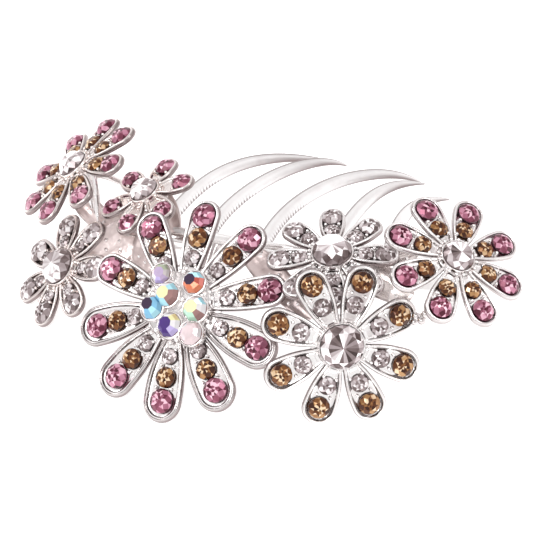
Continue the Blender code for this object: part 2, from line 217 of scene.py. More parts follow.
# Stones: heights and set-ins as shares of the radius, and the tones that each kind of facet may take, painted
# reflections of the light inside the stone.
COLOURS = ("pink", "topaz", "clear")
SEAT_HEIGHT = 0.50
SEAT_GAP = 0.08
GIRDLE_SHARE = 0.16
CROWN_SHARE = 0.40
STONE_FOOT = 0.94
STONE_FOOT_HEIGHT = 0.05
CENTRE_STONE_LIFT = 0.3
PETAL_CUT = {"sides": 8, "middle": 0.82, "table": 0.56, "inner": 0.5}
CENTRE_CUT = {"middle": 0.86, "table": 0.70, "inner": 0.16}
MIDDLE_RISE = 0.55
STAR_SHARE = 0.97
INNER_RISE = 1.01
INNER_TURN = 0.25
MIDPOINT_RISE = 0.99
WALL_TONES = (0.0, 0.15)
FOOT_TONE = 0.2
EDGE_TONES = (0.0, 0.2, 0.4, 0.75)
KITE_TONES = (0.1, 0.35, 0.6, 0.8)
STAR_TONES = (0.2, 0.45, 0.75, 0.9)
TABLE_TONES = (0.05, 0.2, 0.4, 0.6, 0.95)
TONE_DRIFT = 0.08
FAN_DRIFT = 0.05
# Painted shade: a darker streak on one triangle of each fan wedge.
FAN_SHADE_STREAK = 0.28

# The fans seen in the centre stones, painted highlights and shade: the tone of each wedge, from the right
# round by the top.
FANS = {
    "amber_flower": (0.38, 0.34, 1.00, 0.20, 0.26, 0.34, 0.95, 0.50, 0.18, 0.12),
    "right_flower": (0.45, 0.80, 0.92, 0.85, 0.20, 0.10, 0.35, 1.15, 1.15, 0.40),
    "clear_flower": (0.95, 1.20, 1.35, 1.35, 1.20, 0.80, 0.75, 1.25, 0.70, 0.55),
    "upper_left_flower": (0.95, 1.05, 0.95, 0.55, 0.85, 1.05, 1.05, 0.60, 0.40, 0.50),
    "left_flower": (0.75, 0.80, 0.60, 0.80, 0.90, 1.05, 1.15, 1.15, 1.10, 0.75),
    "small_pink_flower": (0.55, 0.95, 1.10, 1.00, 0.90, 1.05, 1.15, 1.15, 0.95, 0.45),
}

# The iridescent cluster: spot on the big flower's hub, radius, how far the table leans, the colour of the
# table and those of the facets, from the right round by the top: coating colours with painted reflections.
LEMON = (0.93, 0.92, 0.50)
AQUA = (0.45, 0.82, 0.93)
MINT = (0.50, 0.80, 0.62)
MAUVE = (0.34, 0.18, 0.17)
NIGHT = (0.030, 0.008, 0.045)
VIOLET = (0.055, 0.014, 0.19)
LILAC = (0.56, 0.48, 0.82)
ORANGE = (0.72, 0.20, 0.09)
RED = (0.48, 0.085, 0.055)
ROSE = (0.80, 0.66, 0.68)
FROST = (0.86, 0.84, 0.86)
SKY = (0.22, 0.52, 0.75)
HAZE = (0.47, 0.37, 0.55)
MOSS = (0.46, 0.52, 0.38)
ASH = (0.55, 0.50, 0.50)
Jewel = namedtuple("Jewel", "spot radius lean table facets")
JEWELS = (
    Jewel((-1.25, 1.5), 1.76, (-0.35, 0.2), LEMON, (AQUA, FROST, LILAC, FROST, SKY, AQUA, MAUVE, MAUVE)),
    Jewel((2.8, 2.7), 1.60, (-0.35, 0.35), NIGHT, (AQUA, AQUA, FROST, VIOLET, ORANGE, ORANGE, ORANGE, RED)),
    Jewel((3.0, -1.1), 1.80, (-0.25, 0.25), LEMON, (AQUA, FROST, FROST, LEMON, MINT, MINT, MAUVE, FROST)),
    Jewel((-3.6, -0.1), 1.68, (-0.4, 0.5), NIGHT, (SKY, FROST, MAUVE, VIOLET, FROST, SKY, AQUA, SKY)),
    Jewel((-0.9, -2.9), 1.75, (-0.3, 0.2), VIOLET,
          (LEMON, FROST, MAUVE, LILAC, VIOLET, VIOLET, LILAC, FROST)),
    Jewel((2.3, -4.4), 1.72, (0.0, 0.1), ROSE, (ROSE, ROSE, FROST, ROSE, ROSE, ROSE, ROSE, FROST)),
    Jewel((-2.3, 4.6), 1.50, (0.0, 0.1), HAZE, (MOSS, MOSS, ASH, ROSE, FROST, LILAC, HAZE, ASH)),
)
# Rows of a cluster stone: share of its radius, height, further height per radius, share of the lean.
JEWEL_ROWS = ((0.94, 0.0, 0.0, 0.0), (1.0, 0.1, 0.0, 0.0), (1.0, 0.3, 0.0, 0.0), (0.80, 0.3, 0.27, 0.45),
              (0.52, 0.3, 0.42, 1.0))
JEWEL_SEAT = 0.4
JEWEL_TURN = 0.3
JEWEL_WALL_ROWS = 2
JEWEL_TOP_ROW = 3
# Painted shade: the side rows of a cluster stone are darker than its top row.
JEWEL_SIDE_SHADE = 0.8

# Branch frame: spine and stems, and the pads under the flowers as (depth, size) shares.
SPINE_START = BAR_START - 3
SPINE_END = BAR_END - 4
SPINE_STEPS = 48
SPINE_AHEAD = 2.3
SPINE_DEPTH = 1.15
SPINE_HEIGHT = 1.5
SPINE_END_SCALE = 0.35
STEM_HALF = 0.65
STEM_DROP = 2.2
STEM_STEPS = 14
STEM_SWELL = 0.5
STEM_UPRIGHT = Vector((0.3, 1.0, 0.1))
PAD_RADIUS = 2.0
PAD_THICKNESS = 0.7
PAD_SIDES = 32
PAD_PROFILE = ((0.0, 0.94), (0.12, 1.0), (0.75, 1.04), (1.0, 0.92), (1.25, 0.55))
SOLDER_GAP = 0.2

# Leaves on the face: a small point makes a blunt leaf.  Grains are counted from near the tip.
LEAF_TINTS = ("rose", "warm")
Leaf = namedtuple("Leaf", "root tip half_width point grains tint", defaults=("rose",))
LEAVES = (
    Leaf((-18.4, 6.9, -23.6), (-27.2, 1.3, -24.0), 2.9, 0.35, 9),
    Leaf((-17.0, 7.2, -22.8), (-24.8, 8.4, -26.6), 1.9, 0.5, 5),
    Leaf((-23.6, 6.8, -27.6), (-28.4, 11.4, -28.6), 1.7, 0.4, 4),
    Leaf((-16.2, 6.9, -21.2), (-18.6, 0.4, -19.3), 2.7, 0.35, 8),
    Leaf((12.6, 1.6, -6.2), (19.6, 3.4, -5.4), 1.4, 0.3, 6, "warm"),
    Leaf((-14.4, 5.6, -19.5), (-16.6, 12.3, -22.9), 2.0, 0.5, 8),
    Leaf((-3.9, 3.6, -11.4), (5.0, -5.9, -0.4), 2.0, 0.5, 9),
    Leaf((11.6, 0.6, -5.4), (18.9, -2.6, -3.2), 2.5, 0.2, 5, "warm"),
)
LEAF_STEPS = 24
LEAF_COLUMNS = (-1.0, -0.92, -0.78, -0.55, -0.3, -0.1, 0.0, 0.1, 0.3, 0.55, 0.78, 0.92, 1.0)
LEAF_ROOT_SHARE = 0.12
LEAF_HALF_THICKNESS = 0.20
LEAF_CURL = 0.25
LEAF_ARCH = 0.35
MIDRIB_HEIGHT = 0.06
MIDRIB_STEEPNESS = 5
LIP_HEIGHT = 0.10
LIP_INNER = 0.75
LIP_OUTER = 0.95
LEAF_EDGE = 0.9
# Painted shade on the leaves' edges, and a slight darkening of their faces.
LEAF_EDGE_SHADE = 0.45
LEAF_FACE_DARKENING = 0.04
LEAF_GRAIN_FIRST = 0.95
LEAF_GRAIN_STEP = 0.07
LEAF_GRAIN_SIDES = (0.45, -0.4, 0.05)
LEAF_GRAIN_LIFT = 0.25
LEAF_GRAIN_HEIGHT = 0.05
LEAF_GRAIN_RADIUS = 0.30

# Thin bars that tie the flowers together: from, by way of, to, half thickness.
LINKS = (
    ((-26.3, 14.8, -27.4), (-25.2, 12.0, -27.4), (-25.0, 6.9, -28.4), 0.75),
    ((-26.0, 14.3, -27.5), (-22.4, 14.2, -29.0), (-17.5, 10.3, -23.4), 0.50),
    ((-3.9, 3.7, -11.2), (0.4, 4.6, -8.6), (6.6, 2.6, -6.0), 0.50),
    ((18.6, -6.0, -0.8), (19.7, -5.7, 0.3), (21.0, -4.9, 3.0), 0.60),
)
# Solder grains on the link between the amber and the right flower: place and radius.
KNOT = (((19.0, -5.5, 1.0), 0.60), ((19.7, -6.1, 1.6), 0.60), ((20.2, -5.2, 2.4), 0.60),
        ((18.7, -6.3, 0.4), 0.45))
# How far the knot's grains are darkened, all over.
KNOT_DARKENING = 0.35

# Silver: tones of its faint clouds, tints, and relief as noise scale, bump strength and distance in metres.
SILVER_TONES = ((0.83, 0.79, 0.785), (0.93, 0.91, 0.905), (0.97, 0.96, 0.96))
SATIN_TONES = ((0.93, 0.915, 0.915), (0.97, 0.965, 0.965), (1.0, 1.0, 1.0))
NO_TINT = (1.0, 1.0, 1.0)
ROSE_TINT = (0.90, 0.80, 0.785)
WARM_TINT = (0.98, 0.935, 0.915)
# The dark tone that the painted shade mixes into the silver.
PAINTED_SHADE_TONE = (0.20, 0.150, 0.148, 1.0)
CLOUD_STOPS = (0.30, 0.52, 0.70)
CLOUD_SCALE = 420.0
CLOUD_DETAIL = 4.0
CAST_DENTS = (1500.0, 0.25, 0.00006)
HAMMERED_DENTS = (650.0, 0.65, 0.00025)
DENT_DETAIL = 3.0

# Stones: shader settings, the colour of each tone from dark to bright and how the brightest ones glow as a
# painted glint.
STONE_GLASS = {"Metallic": 0.40, "Roughness": 0.10, "Coat Weight": 0.30, "Coat Roughness": 0.02,
               "Specular IOR Level": 0.30, "Emission Strength": 1.0}
JEWEL_GLASS = {"Metallic": 0.35, "Roughness": 0.10, "Coat Weight": 0.6, "Coat Roughness": 0.02}
PINK_STOPS = ((0.02, (0.026, 0.0, 0.004)), (0.22, (0.115, 0.015, 0.036)), (0.45, (0.235, 0.058, 0.100)),
              (0.70, (0.40, 0.140, 0.215)), (0.90, (0.64, 0.30, 0.41)), (1.08, (0.90, 0.58, 0.68)))
TOPAZ_STOPS = ((0.02, (0.016, 0.002, 0.0)), (0.22, (0.052, 0.011, 0.001)), (0.45, (0.115, 0.033, 0.006)),
               (0.68, (0.23, 0.090, 0.026)), (0.90, (0.48, 0.265, 0.11)), (1.08, (0.86, 0.66, 0.45)))
CLEAR_STOPS = ((0.02, (0.060, 0.040, 0.038)), (0.20, (0.150, 0.112, 0.110)), (0.40, (0.265, 0.212, 0.214)),
               (0.62, (0.42, 0.355, 0.362)), (0.85, (0.68, 0.62, 0.63)), (1.05, (0.96, 0.93, 0.935)))
# Centre stones are painted brighter than the others.
CENTRE_STOPS = ((0.02, (0.060, 0.040, 0.038)), (0.20, (0.17, 0.125, 0.124)), (0.40, (0.32, 0.26, 0.265)),
                (0.62, (0.56, 0.49, 0.50)), (0.85, (0.86, 0.81, 0.82)), (1.05, (1.0, 0.98, 0.98)))
FLASH_START = 0.88
FLASH_FULL = 1.12
STONE_FLAW_SCALE = 900.0
STONE_FLAW_SHARE = 0.22
JEWEL_DRIFT_SCALE = 700.0
JEWEL_DIMMEST = 0.75
JEWEL_BRIGHTEST = 1.25
STONE_NOISE_DETAIL = 2.0

# Floor, in metres: pale paper that glows a little, so that it stays white under the soft light.
PAPER = {"Roughness": 0.9, "Specular IOR Level": 0.1, "Emission Strength": 0.55}
PAPER_STOPS = ((0.3, (0.90, 0.90, 0.90)), (0.7, (0.92, 0.92, 0.92)))
PAPER_SCALE = 60.0
PAPER_DETAIL = 3.0
FLOOR_HALF = 4.0
FLOOR_CELLS = 8
FLOOR_DROP = 0.00005

# Studio: brightness of the tent from behind the comb (0) to the camera's side (1), its open bright side,
# soft patches, and the boxes and lamps with places and sizes in metres and powers in watts.
TENT = ((0.0, (0.85, 0.84, 0.84)), (0.30, (0.95, 0.94, 0.94)), (0.42, (0.42, 0.37, 0.37)),
        (0.50, (0.22, 0.19, 0.19)), (0.56, (0.70, 0.67, 0.67)), (0.66, (1.0, 1.0, 1.0)),
        (0.86, (1.0, 0.99, 0.99)), (1.0, (0.96, 0.95, 0.95)))
BRIGHT_SIDE = (0.5, 0.8, 0.15)
BRIGHT_TONE = (1.0, 0.99, 0.99, 1.0)
BRIGHT_START = 0.05
BRIGHT_FULL = 0.55
PATCH_STOPS = ((0.36, (0.60, 0.55, 0.55)), (0.46, (0.95, 0.93, 0.93)), (0.56, (1.0, 1.0, 1.0)))
PATCH_SCALE = 2.6
PATCH_DETAIL = 1.5
WORLD_STRENGTH = 1.02
BOXES = (("key_box", (-0.22, -0.30, 0.48), 0.60), ("fill_box", (0.35, -0.10, 0.42), 0.30),
         ("left_box", (-0.42, 0.12, 0.34), 0.35))
BOX_SIZE = 0.20
LAMPS = ((-0.05, -0.45, 0.30), (0.15, -0.30, 0.50), (-0.30, -0.10, 0.40), (0.05, 0.15, 0.55))
LAMP_POWER = 0.04
LAMP_SIZE = 0.03
LIGHT_AIM = Vector((0.0, 0.0, 0.01))

# Sockets of a Mix node set to colours: share, first and second colour, and the result.
MIX_INPUTS = (0, 6, 7)
MIX_OUTPUT = 2


def face_to_world(place):
    """A point of the face, in millimetres, as a world point in metres."""
    return FACE @ (Vector(place) * MM)


def unit(value):
    """A value held between 0 and 1."""
    return min(1.0, max(0.0, value))


# ---- materials

def new_material(name, settings):
    """A node material with its shader's settings: the material, its shader, nodes and links."""
    material = bpy.data.materials.new(name)
    material.use_nodes = True
    nodes = material.node_tree.nodes
    shader = nodes["Principled BSDF"]
    for socket, value in settings.items():
        shader.inputs[socket].default_value = value
    return material, shader, nodes, material.node_tree.links


def noise_node(nodes, links, scale, detail, coordinates="Object"):
    """Noise on object coordinates, or on the coordinates named."""
    place = nodes.new("ShaderNodeTexCoord")
    noise = nodes.new("ShaderNodeTexNoise")
    noise.inputs["Scale"].default_value = scale
    noise.inputs["Detail"].default_value = detail
    links.new(place.outputs[coordinates], noise.inputs["Vector"])
    return noise


def ramp_node(nodes, links, source, stops):
    """A colour ramp fed by a value: stops are (place, colour)."""
    ramp = nodes.new("ShaderNodeValToRGB")
    elements = ramp.color_ramp.elements
    elements[0].position = stops[0][0]
    elements[1].position = stops[-1][0]
    for place, colour in stops[1:-1]:
        elements.new(place)
    for element, (place, colour) in zip(elements, stops):
        element.color = (*colour, 1.0)
    links.new(source, ramp.inputs["Fac"])
    return ramp


def range_node(nodes, links, source, **limits):
    """A value mapped from one range to another: limits are the node's From and To sockets."""
    mapped = nodes.new("ShaderNodeMapRange")
    for limit, value in limits.items():
        mapped.inputs[limit.replace("_", " ").title()].default_value = value
    links.new(source, mapped.inputs["Value"])
    return mapped


def mixed(nodes, links, share, first, second, blend="MIX"):
    """A mix of two colours: each of its inputs is a socket to link or a plain value."""
    mix = nodes.new("ShaderNodeMix")
    mix.data_type = "RGBA"
    mix.blend_type = blend
    for place, value in zip(MIX_INPUTS, (share, first, second)):
        if isinstance(value, bpy.types.NodeSocket):
            links.new(value, mix.inputs[place])
        else:
            mix.inputs[place].default_value = value
    return mix.outputs[MIX_OUTPUT]


def attribute_node(nodes, name):
    """A mesh attribute as a shader value."""
    attribute = nodes.new("ShaderNodeAttribute")
    attribute.attribute_name = name
    return attribute


def silver_material(name, smoothest, roughest, tint=NO_TINT, tones=SILVER_TONES, dents=CAST_DENTS):
    """Silver plating: faint clouds, painted shade where the mesh asks for it and a slightly uneven surface.
    """
    material, shader, nodes, links = new_material(name, {"Metallic": 1.0})
    tinted = [tuple(grey * part for grey, part in zip(colour, tint)) for colour in tones]
    cloud = noise_node(nodes, links, CLOUD_SCALE, CLOUD_DETAIL)
    plating = ramp_node(nodes, links, cloud.outputs["Fac"], tuple(zip(CLOUD_STOPS, tinted)))
    shade = attribute_node(nodes, "shade")
    # Painted shade: the mesh's shade layer darkens the plating towards a dark tone.
    surface = mixed(nodes, links, shade.outputs["Fac"], plating.outputs["Color"], PAINTED_SHADE_TONE)
    links.new(surface, shader.inputs["Base Color"])
    rough = range_node(nodes, links, cloud.outputs["Fac"], to_min=smoothest, to_max=roughest)
    links.new(rough.outputs["Result"], shader.inputs["Roughness"])
    scale, strength, distance = dents
    relief = noise_node(nodes, links, scale, DENT_DETAIL)
    bump = nodes.new("ShaderNodeBump")
    bump.inputs["Strength"].default_value = strength
    bump.inputs["Distance"].default_value = distance
    links.new(relief.outputs["Fac"], bump.inputs["Height"])
    links.new(bump.outputs["Normal"], shader.inputs["Normal"])
    return material


def stone_material(name, stops, glint):
    """Foil-backed glass: each facet takes its painted reflection tone from the mesh, and the brightest ones
    glow as a painted glint.
    """
    material, shader, nodes, links = new_material(name, STONE_GLASS)
    flaw = noise_node(nodes, links, STONE_FLAW_SCALE, STONE_NOISE_DETAIL)
    blend = nodes.new("ShaderNodeMath")
    blend.operation = "MULTIPLY_ADD"
    blend.inputs[1].default_value = STONE_FLAW_SHARE
    links.new(flaw.outputs["Fac"], blend.inputs[0])
    links.new(attribute_node(nodes, "tone").outputs["Fac"], blend.inputs[2])
    ramp = ramp_node(nodes, links, blend.outputs[0], stops)
    links.new(ramp.outputs["Color"], shader.inputs["Base Color"])
    # Painted glint: the brightest tones glow through the emission colour.
    flash = ramp_node(nodes, links, blend.outputs[0], ((FLASH_START, (0.0, 0.0, 0.0)), (FLASH_FULL, glint)))
    links.new(flash.outputs["Color"], shader.inputs["Emission Color"])
    return material


def jewel_material():
    """Iridescent stones: each facet carries its own colour, with faint drift across it."""
    material, shader, nodes, links = new_material("iridescent_stone", JEWEL_GLASS)
    drift = noise_node(nodes, links, JEWEL_DRIFT_SCALE, STONE_NOISE_DETAIL)
    light = range_node(nodes, links, drift.outputs["Fac"], to_min=JEWEL_DIMMEST, to_max=JEWEL_BRIGHTEST)
    mix = nodes.new("ShaderNodeVectorMath")
    mix.operation = "SCALE"
    links.new(attribute_node(nodes, "hue").outputs["Color"], mix.inputs[0])
    links.new(light.outputs["Result"], mix.inputs["Scale"])
    links.new(mix.outputs["Vector"], shader.inputs["Base Color"])
    return material


def floor_material():
    """Plain pale paper."""
    material, shader, nodes, links = new_material("pale_floor", PAPER)
    fibre = noise_node(nodes, links, PAPER_SCALE, PAPER_DETAIL)
    tint = ramp_node(nodes, links, fibre.outputs["Fac"], PAPER_STOPS)
    links.new(tint.outputs["Color"], shader.inputs["Base Color"])
    links.new(tint.outputs["Color"], shader.inputs["Emission Color"])
    return material


MATERIALS = {
    "silver": silver_material("plated_silver", 0.08, 0.22),
    "satin": silver_material("satin_silver", 0.36, 0.52, tones=SATIN_TONES),
    "warm": silver_material("warm_silver", 0.12, 0.26, WARM_TINT),
    "rose": silver_material("rose_silver", 0.22, 0.42, ROSE_TINT, dents=HAMMERED_DENTS),
    # Each stone material's last value is the colour of its painted glint; the centre stones' is the
    # strongest.
    "pink": stone_material("pink_stone", PINK_STOPS, (0.06, 0.02, 0.03)),
    "topaz": stone_material("topaz_stone", TOPAZ_STOPS, (0.05, 0.03, 0.01)),
    "clear": stone_material("clear_stone", CLEAR_STOPS, (0.08, 0.08, 0.08)),
    "centre": stone_material("centre_stone", CENTRE_STOPS, (0.40, 0.39, 0.40)),
    "jewel": jewel_material(),
}


# ---- helpers for objects and meshes

def new_object(name, data):
    """An object of the scene."""
    thing = bpy.data.objects.new(name, data)
    bpy.context.scene.collection.objects.link(thing)
    return thing


def loop_faces(shape, lower, upper, closed=True):
    """Join two rows of vertices with quads."""
    count = len(lower)
    faces = []
    for i in range(count if closed else count - 1):
        j = (i + 1) % count
        faces.append(shape.faces.new((lower[i], lower[j], upper[j], upper[i])))
    return faces


def skin(shape, rows):
    """A closed body through rows of vertices: sides between neighbours and a cap at each end."""
    for lower, upper in zip(rows, rows[1:]):
        loop_faces(shape, lower, upper)
    shape.faces.new(rows[0])
    shape.faces.new(rows[-1])


def silver_shape():
    """A bmesh whose vertices carry their painted shade in the layer "shade"."""
    shape = bmesh.new()
    shape.verts.layers.float.new("shade")
    return shape


def finish_piece(name, shape, materials, nodes, smooth=True):
    """Turn a bmesh into a piece that rides on the comb and stands for its CAD nodes."""
    bmesh.ops.recalc_face_normals(shape, faces=shape.faces)
    mesh = bpy.data.meshes.new(name)
    shape.to_mesh(mesh)
    shape.free()
    for material in materials:
        mesh.materials.append(material)
    if smooth:
        mesh.shade_smooth()
        mesh.set_sharp_from_angle(angle=radians(SHARP_ANGLE))
    piece = new_object(name, mesh)
    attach(piece, "root")
    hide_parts(*nodes)


def circle(count, radius=1.0, offset=0.0, turn=0.0):
    """Points evenly round a circle, as (x, y) pairs: offset is a share of a step, turn is in radians."""
    angles = [turn + 2 * pi * (i + offset) / count for i in range(count)]
    return [(radius * cos(angle), radius * sin(angle)) for angle in angles]


def tube(shape, stations, sides=TUBE_SIDES):
    """A closed tube on the face: each station gives its centre and two half-axes."""
    skin(shape, [[shape.verts.new(face_to_world(centre + across * x + up * y)) for x, y in circle(sides)]
                 for centre, across, up in stations])


def revolve(shape, place, profile, sides, centre=(0.0, 0.0), darkening=0.0):
    """A closed turned form: profile is (radius, height) from the bottom up."""
    layer = shape.verts.layers.float["shade"]
    rows = []
    for radius, height in profile:
        row = [shape.verts.new(place(centre[0] + x, centre[1] + y, height)) for x, y in circle(sides, radius)]
        for vertex in row:
            # Every vertex of the form is darkened by the same amount.
            vertex[layer] = darkening
        rows.append(row)
    skin(shape, rows)


def grain(shape, place, x, y, height, radius, darkening=0.0):
    """A small silver ball."""
    profile = []
    for i in range(GRAIN_STEPS + 1):
        angle = pi * i / GRAIN_STEPS
        profile.append((max(GRAIN_POLE, radius * sin(angle)), height - radius * cos(angle)))
    revolve(shape, place, profile, GRAIN_SIDES, (x, y), darkening)


def placed_at(spot, side, up, out):
    """A function from (x, y, height) about a spot of the face to the world."""
    def place(x, y, height):
        return face_to_world(spot + side * x + up * y + out * height)
    return place


# ---- comb

def bar_point(angle):
    """Centre of the bar at an angle on its arc, on the face (u, v, n)."""
    turn = radians(angle)
    u = BAR_APEX_U + BAR_RADIUS * sin(turn)
    n = BAR_BACK - BAR_RADIUS * (1 - cos(turn))
    return Vector((u, BAR_V_AT_ZERO + BAR_SLOPE * u, n))


def bar_outward(angle):
    """Direction away from the head at an angle on the bar's arc."""
    turn = radians(angle)
    return Vector((sin(turn), 0, cos(turn)))


def bezier(points, share):
    """A point of a cubic Bezier curve."""
    rest = 1 - share
    weights = (rest ** 3, 3 * rest ** 2 * share, 3 * rest * share ** 2, share ** 3)
    return sum((point * weight for point, weight in zip(points, weights)), Vector((0, 0, 0)))


def tine_handles(tine):
    """The four Bezier points of a tine, on the face."""
    root = bar_point(tine.root)
    tip = Vector((*tine.tip, tine.depth))
    first = Vector((*tine.handle_a, root.z + (tip.z - root.z) / 3))
    second = Vector((*tine.handle_b, root.z + (tip.z - root.z) * 2 / 3))
    return root, first, second, tip


def tine_axes(handles, share):
    """The directions across a tine and through it at a place along it."""
    before = bezier(handles, max(0.0, share - TANGENT_REACH))
    after = bezier(handles, min(1.0, share + TANGENT_REACH))
    ahead = (after - before).normalized()
    across = ahead.cross(OUT).normalized()
    return across, across.cross(ahead).normalized()


def rib_cut(run, stop):
    """How deep the notch between two ribs is at this distance along a tine, from 0 to 1."""
    if run > stop:
        return 0.0
    fade = min(1.0, (stop - run) / RIB_FADE)
    phase = (run / RIB_PITCH) % 1.0
    return fade * max(0.0, 1 - abs(phase - 0.5) * RIB_STEEPNESS)


def tine_painted_shade(angle, share, cut):
    """Painted shade at an angle of a tine's section (0 is its lower edge) and a share of its length."""
    lower = max(0.0, cos(angle))
    upper_edge = unit((-cos(angle) - UPPER_EDGE_START) / UPPER_EDGE_FADE)
    lower_edge = unit((cos(angle) - LOWER_EDGE_START) / LOWER_EDGE_FADE)
    wrap = unit(cos(angle) + BELLY_WRAP + BELLY_TIP_WRAP * share ** 4)
    belly = unit((share - BELLY_START) * BELLY_RISE) * wrap
    blush = BLUSH_SHADE * unit((share - BLUSH_START) * BLUSH_RISE)
    return min(TINE_MOST_SHADE, NOTCH_SHADE * cut * lower ** 2 + UPPER_EDGE_SHADE * upper_edge
               + LOWER_EDGE_SHADE * lower_edge + BELLY_SHADE * belly + blush)


def add_tine(shape, tine, stop):
    """One horn-like tine: a rounded blade with fine ribs along its lower edge."""
    handles = tine_handles(tine)
    layer = shape.verts.layers.float["shade"]
    rings = []
    run = 0.0
    last = handles[0]
    for i in range(TINE_STATIONS + 1):
        share = i / TINE_STATIONS
        place = bezier(handles, share)
        run += (place - last).length
        last = place
        across, depth = tine_axes(handles, share)
        scale = (1 - share ** TINE_TAPER_POWER * (1 - TINE_TIP_SCALE)) * (1 - TINE_THINNING * share)
        cut = rib_cut(run, stop)
        ring = []
        for j in range(TINE_SIDES):
            angle = 2 * pi * j / TINE_SIDES
            width = TINE_HALF_WIDTH * scale - RIB_DEPTH * cut * max(0.0, cos(angle))
            vertex = shape.verts.new(face_to_world(
                place + across * width * cos(angle) + depth * TINE_HALF_DEPTH * scale * sin(angle)))
            vertex[layer] = tine_painted_shade(angle, share, cut)
            ring.append(vertex)
        rings.append(ring)
    skin(shape, rings)


def add_collar(shape, tine):
    """The thickened foot of a tine on the bar."""
    root = bar_point(tine.root)
    collar = []
    for step in COLLAR_STEPS:
        half_width = COLLAR_HALF_WIDTH - step * COLLAR_TAPER
        collar.append((root + UP * step, RIGHT * half_width, OUT * COLLAR_HALF_DEPTH))
    tube(shape, collar)


def bar_section():
    """Outline of the bar's section, a rectangle with round corners, as (a, b) pairs."""
    a = BAR_HALF_THICKNESS - BAR_CORNER
    b = BAR_HALF_HEIGHT - BAR_CORNER
    outline = []
    for quarter, corner in enumerate(((a, b), (-a, b), (-a, -b), (a, -b))):
        for i in range(BAR_CORNER_STEPS + 1):
            angle = pi / 2 * (quarter + i / BAR_CORNER_STEPS)
            outline.append((corner[0] + BAR_CORNER * cos(angle), corner[1] + BAR_CORNER * sin(angle)))
    return outline


def add_bar(shape):
    """The bar: a curved strip with rounded edges and ends."""
    section = bar_section()
    rings = []
    for i in range(BAR_STEPS + 1):
        share = i / BAR_STEPS
        angle = BAR_START + (BAR_END - BAR_START) * share
        end = min(1.0, min(share, 1 - share) * BAR_END_STEEPNESS)
        shrink = BAR_END_SCALE + (1 - BAR_END_SCALE) * (1 - (1 - end) ** 2) ** 0.5
        out = bar_outward(angle)
        rings.append([shape.verts.new(face_to_world(bar_point(angle) + out * a * shrink + UP * b * shrink))
                      for a, b in section])
    skin(shape, rings)


def build_comb():
    """The comb casting."""
    shape = silver_shape()
    add_bar(shape)
    for tine, stop in zip(TINES, RIB_STOPS):
        add_tine(shape, tine, stop)
        add_collar(shape, tine)
    finish_piece("comb", shape, [MATERIALS["satin"]], ["comb_casting"])


# ---- flowers

def flower_axes(flower):
    """A flower's own axes on the face: its x axis is the face's u axis laid into its plane."""
    tilt = radians(flower.tilt)
    toward = radians(flower.toward)
    normal = Vector((sin(tilt) * cos(toward), sin(tilt) * sin(toward), cos(tilt)))
    side = (RIGHT - normal * normal.x).normalized()
    return side, normal.cross(side), normal


def flower_place(flower):
    """A function from a flower's own millimetres to the world, with the flower's dome."""
    side, up, normal = flower_axes(flower)
    matrix = Matrix((side, up, normal)).transposed().to_4x4()
    matrix.translation = Vector(flower.centre) * MM
    matrix = FACE @ matrix

    def place(x, y, height):
        return matrix @ (Vector((x, y, height - flower.dome * (x * x + y * y))) * MM)
    return place


def petal_angle(flower, number):
    """Direction of a petal round its flower, in radians."""
    return radians(flower.spin + 360 * number / flower.petals)


def petal_place(flower, number):
    """A function from (along, across, height) of one petal to the world."""
    place = flower_place(flower)
    angle = petal_angle(flower, number)

    def on_petal(along, across, height):
        x = along * cos(angle) - across * sin(angle)
        y = along * sin(angle) + across * cos(angle)
        return place(x, y, height)
    return on_petal


def petal_style(flower, number):
    """Half width at the tip, swell and rim of a petal.

    The big flower's lower petals are wide with a double rim, and its upper ones hug their stones.
    """
    if flower is not BIG:
        return flower.tip_half, PETAL_SWELL, SINGLE_RIM
    if sin(petal_angle(flower, number)) > 0:
        return flower.tip_half - UPPER_PETAL_TRIM, PETAL_SWELL, SINGLE_RIM
    return flower.tip_half, WIDE_PETAL_SWELL, DOUBLE_RIM


def petal_ring(flower, margin, tip_half, swell):
    """Outline of a petal set in by a margin, from its left side round the tip to its right side."""
    round_at = flower.stones[0].at
    start = flower.base_radius - PETAL_BASE_HIDDEN + margin
    left = []
    for i in range(PETAL_SIDE_STEPS):
        along = start + (round_at - start) * i / PETAL_SIDE_STEPS
        share = (along - flower.base_radius) / (round_at - flower.base_radius)
        half = flower.base_half + (tip_half - flower.base_half) * share + swell * sin(pi * unit(share))
        left.append((along, max(PETAL_LEAST_HALF, half - margin)))
    radius = tip_half - margin
    arc = []
    for i in range(PETAL_ARC_STEPS + 1):
        angle = pi / 2 - pi * i / PETAL_ARC_STEPS
        arc.append((round_at + radius * cos(angle), radius * sin(angle)))
    return left + arc + [(x, -y) for x, y in reversed(left)]


def add_petal(shape, flower, number):
    """One petal with its rim."""
    place = petal_place(flower, number)
    tip_half, swell, rim = petal_style(flower, number)
    shade_scale = PALE_PAINTED_SHADE.get(flower.name, 1.0)
    layer = shape.verts.layers.float["shade"]
    rows = []
    # Each row of the section carries its painted shade, scaled for the flower.
    for margin, height, darkening in PETAL_WALL + rim:
        row = [shape.verts.new(place(x, y, height)) for x, y in petal_ring(flower, margin, tip_half, swell)]
        for vertex in row:
            vertex[layer] = darkening * shade_scale
        rows.append(row)
    skin(shape, rows)


def add_petal_grains(shape, flower, number):
    """Grains of silver that hold the stones, in the corners between neighbours."""
    place = petal_place(flower, number)
    last = flower.stones[-1]
    spots = [((outer.at - outer.radius + inner.at + inner.radius) / 2, inner.radius * GRAIN_SPREAD)
             for outer, inner in zip(flower.stones, flower.stones[1:])]
    spots.append((last.at - last.radius * LAST_GRAIN_BACK, last.radius * LAST_GRAIN_SPREAD))
    for along, across in spots:
        for side in (-1, 1):
            grain(shape, place, along, side * across, SEAT_HEIGHT + GRAIN_LIFT, GRAIN_RADIUS)


